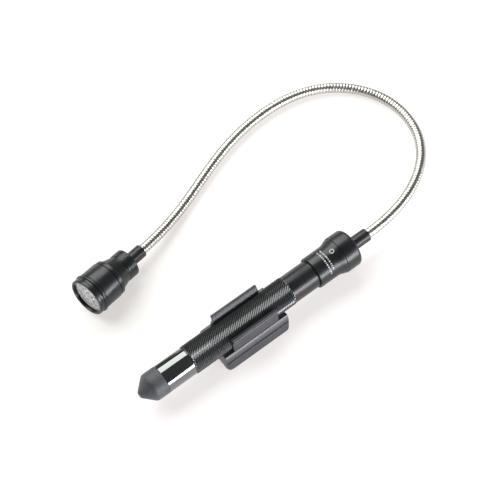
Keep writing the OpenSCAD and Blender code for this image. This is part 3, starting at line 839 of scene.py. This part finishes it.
def ringPatches(pieces=20):
    # a flat ring as narrow patches, wrapped on the flare
    inner, outer, spots = marks["ringInner"], marks["ringOuter"], []
    for k in range(pieces + 1):
        turn = 2 * math.pi * k / pieces
        spots.append([(marks["ringAt"] + r * math.cos(turn), r * math.sin(turn) / marks["ringOn"])
                      for r in (inner, (inner + outer) / 2, outer)])
    return [[a, b] for a, b in zip(spots, spots[1:])]


printed = markRow(marks["rowA"], marks["barsA"]) + markRow(marks["rowB"], marks["barsB"])
printed += ringPatches()
markPiece("collar_marks", printed, flareRadius)
print("barrel made")


cap = {"radius": 8.95, "plug": 7.45, "bore": 6.3, "hole": 5.3, "wall": 1.8, "threadPitch": 1,
       "threadDepth": 0.32, "gap": 0.15}
plugEnd = endOf("tail_cap")
capFace = gripStart - cap["gap"]
threadStart = gripStart + 2
threadOutline = []
for k in range(int((plugEnd - 0.6 - threadStart) / cap["threadPitch"]) * 2 + 1):
    threadOutline.append((threadStart + k * cap["threadPitch"] / 2,
                          cap["plug"] - (cap["threadDepth"] if k % 2 else 0)))
tailOutline = rounded([
    (capStart, cap["hole"]), (capStart, cap["radius"], 0.25), (capFace, cap["radius"], 0.3),
    (capFace, cap["plug"]), *threadOutline, (plugEnd, cap["plug"], 0.3), (plugEnd, cap["bore"]),
    (capStart + cap["wall"], cap["bore"]), (capStart + cap["wall"], cap["hole"]),
], 4)
tail = turnedPiece("tail_cap_shell", tailOutline, barrelFrom, barrelAlong, polishedBlack,
                   "tail_cap", 128, 24)
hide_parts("tail_cap")

boot = {"outer": 8.92, "inner": 7.0, "hem": 5.2, "shoulder": 8.3, "tipRadius": 3.9, "rowGap": 0.7}
bootBase = capStart - 0.05
bootOutline = rounded([
    (bootBase, boot["hem"]), (bootBase, boot["outer"], 0.2),
    (capStart - boot["shoulder"], boot["outer"] - 0.02, 3.2),
    (bootTip + 2.1, boot["tipRadius"], 2.0), (bootTip, 1.9, 1.4), (bootTip, 0),
    (bootTip + 2.2, 0), (bootTip + 3.6, 2.5, 0.8),
    (capStart - boot["shoulder"] + 1.4, boot["inner"], 2),
    (bootBase - 1.7, boot["inner"]), (bootBase - 1.7, boot["hem"]),
], 8)
# the boot's outline is cut into fine rows, no more than a row gap apart
bootRows = []
for a, b in zip(bootOutline, bootOutline[1:] + bootOutline[:1]):
    parts = max(1, math.ceil((b - a).length / boot["rowGap"]))
    bootRows += [a.lerp(b, k / parts) for k in range(parts)]
bootPiece = turnedPiece("switch_boot", bootRows, barrelFrom, barrelAlong, bootRubber,
                        None)
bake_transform(bootPiece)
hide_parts("boot_skirt", "boot_button")
print("tail made")


neck = {"radius": 3.2, "wire": 0.27, "pitch": 2.0, "rowsPerTurn": 10, "sides": 40, "bore": 2.35,
        "inFerrule": 4, "bendReach": 20, "arcOverChord": 1.012, "settleRounds": 60,
        "fineSteps": 160}
links = 1 + sum(1 for name in pivots if name.startswith("neck_bend_"))
neckFrom = barrelFrom + Vector((neckStart, 0, 0)) * mm
knots = [neckFrom] + [pivots[f"neck_bend_{k}"] for k in range(1, links)] + [headFrom]

# slopes at the knots that give one smooth curve through all of them
spacing = sum((b - a).length for a, b in zip(knots, knots[1:])) / links * neck["arcOverChord"]
slopes = [barrelAlong * spacing] + [Vector((0, 0, 0))] * (links - 1) + [headAlong * spacing]
for settling in range(neck["settleRounds"]):
    for k in range(1, links):
        slopes[k] = (3 * (knots[k + 1] - knots[k - 1]) - slopes[k - 1] - slopes[k + 1]) / 4


def onCurve(k, t):
    square, cube = t * t, t * t * t
    return (knots[k] * (2 * cube - 3 * square + 1) + slopes[k] * (cube - 2 * square + t)
            + knots[k + 1] * (3 * square - 2 * cube) + slopes[k + 1] * (cube - square))


fineSteps = neck["fineSteps"]
path = [neckFrom - barrelAlong * neck["inFerrule"] * mm]
path += [onCurve(k, i / fineSteps) for k in range(links) for i in range(fineSteps)]
path += [headFrom, headFrom + headAlong * neck["inFerrule"] * mm]
reached = [0]
for a, b in zip(path, path[1:]):
    reached.append(reached[-1] + (b - a).length)


def atLength(length):
    low = min(bisect.bisect_right(reached, length), len(path) - 1) - 1
    share = (length - reached[low]) / (reached[low + 1] - reached[low])
    return path[low].lerp(path[low + 1], share)


rowStep = neck["pitch"] * mm / neck["rowsPerTurn"]
rowCount = int(reached[-1] / rowStep)
rowCentres = [atLength(i * rowStep) for i in range(rowCount + 1)]
rowFrames = []
side = Vector((0, 1, 0))
for i in range(rowCount + 1):
    ahead = (rowCentres[min(i + 1, rowCount)] - rowCentres[max(i - 1, 0)]).normalized()
    side = (side - ahead * side.dot(ahead)).normalized()
    rowFrames.append((ahead, side, ahead.cross(side)))


def woundTube(name, firstRow, lastRow, body):
    # the outside follows a half-round wire wound in a helix, and the plain bore leads back
    sides = neck["sides"]
    outsideRows = list(range(firstRow, lastRow + 1))
    boreRows = [lastRow] + list(reversed(range(firstRow, lastRow, neck["rowsPerTurn"])))
    points, places = [], []
    for n, i in enumerate(outsideRows + boreRows):
        ahead, across, up = rowFrames[i]
        for j in range(sides):
            turn = 2 * math.pi * j / sides
            phase = (i / neck["rowsPerTurn"] - j / sides) % 1
            crest, radius = 0, neck["bore"]
            if n < len(outsideRows):
                crest = math.sqrt(max(0, 1 - (2 * phase - 1) ** 2))
                radius = neck["radius"] - neck["wire"] * (1 - crest)
            outward = across * math.cos(turn) + up * math.sin(turn)
            points.append(rowCentres[i] + outward * radius * mm)
            # the crest also tells the wire's material where to paint shade in the grooves
            places.append((rowStep * i, turn, crest))
    faces = ringQuads(len(outsideRows) + len(boreRows), sides)
    return addPiece(name, points, faces, neckWire, body, 60, places)


def rowNear(k, t):
    # the row beside a point of the curve
    length = reached[1 + round((k + t) * fineSteps)]
    return round(length / rowStep)


firstTube = woundTube("neck_start", 0, rowNear(0, 0.5), "barrel")
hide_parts("neck_link_1")
for k in range(1, links):
    tube = woundTube(f"neck_bend_{k}", rowNear(k - 1, 0.5), rowNear(k, 0.5), None)
    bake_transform(tube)
    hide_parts(f"neck_link_{k + 1}")
woundTube("neck_end", rowNear(links - 1, 0.5), rowCount, "head")
print("neck made:", rowCount, "rows")


head = {"front": 47, "radius": 12.3, "fin": 12.9, "window": 10.6, "thread": 11.15, "rear": 9.1,
        "rearStart": 11.4, "waist": 8.6, "coneEnd": 26.4, "ring": 11.9, "ringGroove": 11.3,
        "bore": 10.2, "rearBore": 7.2, "mouth": 4.3, "rearLength": 6.8, "ringLength": 3.1,
        "bezelLength": 6.2, "grooves": 3, "grooveGap": 1.5, "grooveDepth": 0.17}
rearEnd = head["rearStart"] + head["rearLength"]
drumStart = head["coneEnd"] + head["ringLength"]
drumEnd = head["front"] - head["bezelLength"]
rearGrooves = []
for k in range(1, head["grooves"] + 1):
    middle = head["rearStart"] + 0.6 + head["grooveGap"] * k
    top, bottom = head["rear"], head["rear"] - head["grooveDepth"]
    rearGrooves += [(middle - 0.32, top, 0.08), (middle - 0.12, bottom, 0.1),
                    (middle + 0.12, bottom, 0.1), (middle + 0.32, top, 0.08)]
headOutline = rounded([
    (head["rearStart"], head["mouth"]), (head["rearStart"], head["rear"], 0.55), *rearGrooves,
    (rearEnd - 0.2, head["rear"], 0.25), (rearEnd + 0.1, head["waist"], 0.4),
    (head["coneEnd"], 10.9, 0.15), (head["coneEnd"] + 0.05, head["ring"], 0.25),
    (head["coneEnd"] + 2.4, head["ring"], 0.25), (head["coneEnd"] + 2.5, head["ringGroove"], 0.1),
    (drumStart - 0.1, head["ringGroove"], 0.1), (drumStart, head["radius"], 0.3),
    (drumEnd, head["radius"], 0.25), (drumEnd, head["thread"]), (head["front"] - 3, head["thread"]),
    (head["front"] - 3, head["bore"]), (head["coneEnd"] + 1, head["bore"]),
    (rearEnd + 2, head["rearBore"]), (head["rearStart"] + 2.5, head["rearBore"]),
    (head["rearStart"] + 2.5, head["mouth"]),
], 4)
headShell = turnedPiece("head_shell", headOutline, headFrom, headAlong, satinBlack,
                        "head", 128, 34)
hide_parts("head_body")

collarFrom, collarTo = head["rearStart"] + 2.6, head["rearStart"] + 4.4
headFerruleOutline = rounded([
    (0, ferrule["mouth"], 0.15), (0, ferrule["radius"], 0.45), (collarFrom, ferrule["radius"]),
    (collarFrom, ferrule["headCollar"]), (collarTo, ferrule["headCollar"]),
    (collarTo, ferrule["leadHole"]), (ferrule["depth"], ferrule["leadHole"]),
    (ferrule["depth"], ferrule["socket"]), (0.4, ferrule["socket"]),
], 4)
headFerrule = turnedPiece("head_ferrule_sleeve", headFerruleOutline, headFrom, headAlong,
                          satinBlack, "head", 72)
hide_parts("head_ferrule")

front = head["front"]
bezelOutline = rounded([
    (drumEnd + 0.1, head["thread"] + 0.05), (drumEnd + 0.1, head["radius"] - 0.1, 0.2),
    (front - 5.35, head["radius"] - 0.1, 0.15), (front - 5.1, head["fin"], 0.25),
    (front - 4.2, head["fin"], 0.25), (front - 4, 11.9, 0.15), (front - 2.3, 11.9, 0.15),
    (front - 2.1, head["radius"], 0.35), (front, head["radius"], 0.55),
    (front, head["window"] + 0.35, 0.3), (front - 0.75, head["window"]),
    (front - 1.1, head["window"]), (front - 1.1, head["thread"] + 0.05),
], 4)
bezel = turnedPiece("head_bezel", bezelOutline, headFrom, headAlong, satinBlack,
                    "head", 128, 34)
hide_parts("bezel")

lensOutline = [Vector((front - back, radius)) for back, radius in (
    (2.2, 0), (2.22, 5), (2.25, 10.9), (2.1, 11.1), (1.3, 11.1), (1.16, 10.9), (1.1, 10.5),
    (1.0, 7), (0.95, 3), (0.94, 0))]
lensPiece = turnedPiece("head_lens", lensOutline, headFrom, headAlong, lensClear,
                        "head", 96, 30)
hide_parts("lens")

# a die cup on its post stands inside each clear dome
ledCup = {"base": 37.6, "rim": 40.6, "radius": 1.15, "post": 0.35, "circle": 6.4, "around": 6}
ledPlaces = [(0, 0)]
for k in range(ledCup["around"]):
    turn = 2 * math.pi * k / ledCup["around"]
    ledPlaces.append((ledCup["circle"] * math.sin(turn), ledCup["circle"] * math.cos(turn)))
ahead, across, up = axesOf(headAlong)
for k, (y, z) in enumerate(ledPlaces):
    cupFrom = headFrom + (across * -y + up * z) * mm
    rim, cupRadius = ledCup["rim"], ledCup["radius"]
    cupOutline = [Vector(p) for p in (
        (ledCup["base"], 0), (ledCup["base"], ledCup["post"]), (rim - 1.1, ledCup["post"]),
        (rim - 0.9, cupRadius), (rim, cupRadius), (rim, cupRadius - 0.15), (rim - 0.5, 0.45),
        (rim - 0.5, 0))]
    turnedPiece(f"led_cup_{k}", cupOutline, cupFrom, headAlong, reflectorSilver,
                "head", 24, 30)
print("head made")


finishes = {
    "magnet_bar": ferrite, "backing_plate": plainSteel, "bell_oring": sealRubber,
    "contact_carrier": carrierPlastic, "contact_pin": contactBrass, "battery_rear": cellWrap,
    "battery_front": cellWrap, "tail_oring": sealRubber, "switch_body": innerPlastic,
    "switch_retainer": plainSteel, "battery_spring": plainSteel, "switch_plunger": carrierPlastic,
    "lens_oring": sealRubber, "reflector": reflectorSilver, "leds": ledEpoxy,
    "led_board": boardMask, "lamp_wires": leadInsulation,
}
for k in range(1, links + 1):
    finishes[f"neck_lead_{k}"] = leadInsulation
for node, material in finishes.items():
    data = frame["nodes"][node].data
    data.materials.clear()
    data.materials.append(material)
print("finishes given to", len(finishes), "CAD pieces")


def floorPaper():
    # plain white paper with a faint tooth
    material, nodes, links = blankMaterial("floor_paper")
    toothFrame = nodes.new("NodeFrame")
    toothFrame.label = "paper tooth"
    coordinates = nodes.new("ShaderNodeTexCoord")
    tooth = nodes.new("ShaderNodeTexNoise")
    shade = nodes.new("ShaderNodeValToRGB")
    shader = nodes.new("ShaderNodeBsdfPrincipled")
    output = nodes.new("ShaderNodeOutputMaterial")
    for node, label, home, place in (
        (coordinates, "place on the floor", None, (-900, 0)),
        (tooth, "fibres", toothFrame, (-660, 0)),
        (shade, "white to nearly white", toothFrame, (-440, 0)),
        (shader, "paper", None, (-120, 0)),
        (output, "surface", None, (200, 0)),
    ):
        node.label = label
        node.parent = home
        node.location = place
    tooth.inputs["Scale"].default_value = 400
    shade.color_ramp.elements[0].color = (0.44, 0.44, 0.44, 1)
    shade.color_ramp.elements[1].color = (0.46, 0.46, 0.46, 1)
    shader.inputs["Roughness"].default_value = 0.9
    shader.inputs["Specular IOR Level"].default_value = 0.1
    shader.inputs["Emission Color"].default_value = (1, 0.95, 0.93, 1)
    shader.inputs["Emission Strength"].default_value = 0.64
    links.new(coordinates.outputs["Object"], tooth.inputs["Vector"])
    links.new(tooth.outputs["Fac"], shade.inputs["Fac"])
    links.new(shade.outputs["Color"], shader.inputs["Base Color"])
    links.new(shader.outputs["BSDF"], output.inputs["Surface"])
    return material


floorSettings = {"half": 3, "height": -0.0002}
floorCorners = [(floorSettings["half"] * x, floorSettings["half"] * y, floorSettings["height"])
                for x, y in ((-1, -1), (1, -1), (1, 1), (-1, 1))]
floorMesh = bpy.data.meshes.new("floor")
floorMesh.from_pydata(floorCorners, [], [[0, 1, 2, 3]])
floorMesh.materials.append(floorPaper())
floor = putInScene("floor", floorMesh)

bpy.context.scene.view_settings.view_transform = "Standard"
world = bpy.data.worlds.new("studio")
world.use_nodes = True
background = world.node_tree.nodes["Background"]
background.inputs["Color"].default_value = (1, 1, 1, 1)
background.inputs["Strength"].default_value = 0.12
bpy.context.scene.world = world


lightsAim = (0.03, 0.03, 0.01)
lights = {
    "key": {"from": (-0.02, 0.80, 0.88), "size": (1.8, 0.95), "power": 26,
            "colour": (0.96, 1, 0.955)},
    "low": {"from": (0.30, -1.05, 0.21), "size": (1.7, 0.36), "power": 26,
            "colour": (0.94, 0.94, 1)},
}
for name, light in lights.items():
    data = bpy.data.lights.new(name, "AREA")
    data.shape = "RECTANGLE"
    data.size, data.size_y = light["size"]
    data.energy = light["power"]
    data.color = light["colour"]
    aimAt(putInScene(name, data), light["from"], lightsAim)
print("floor and light placed")
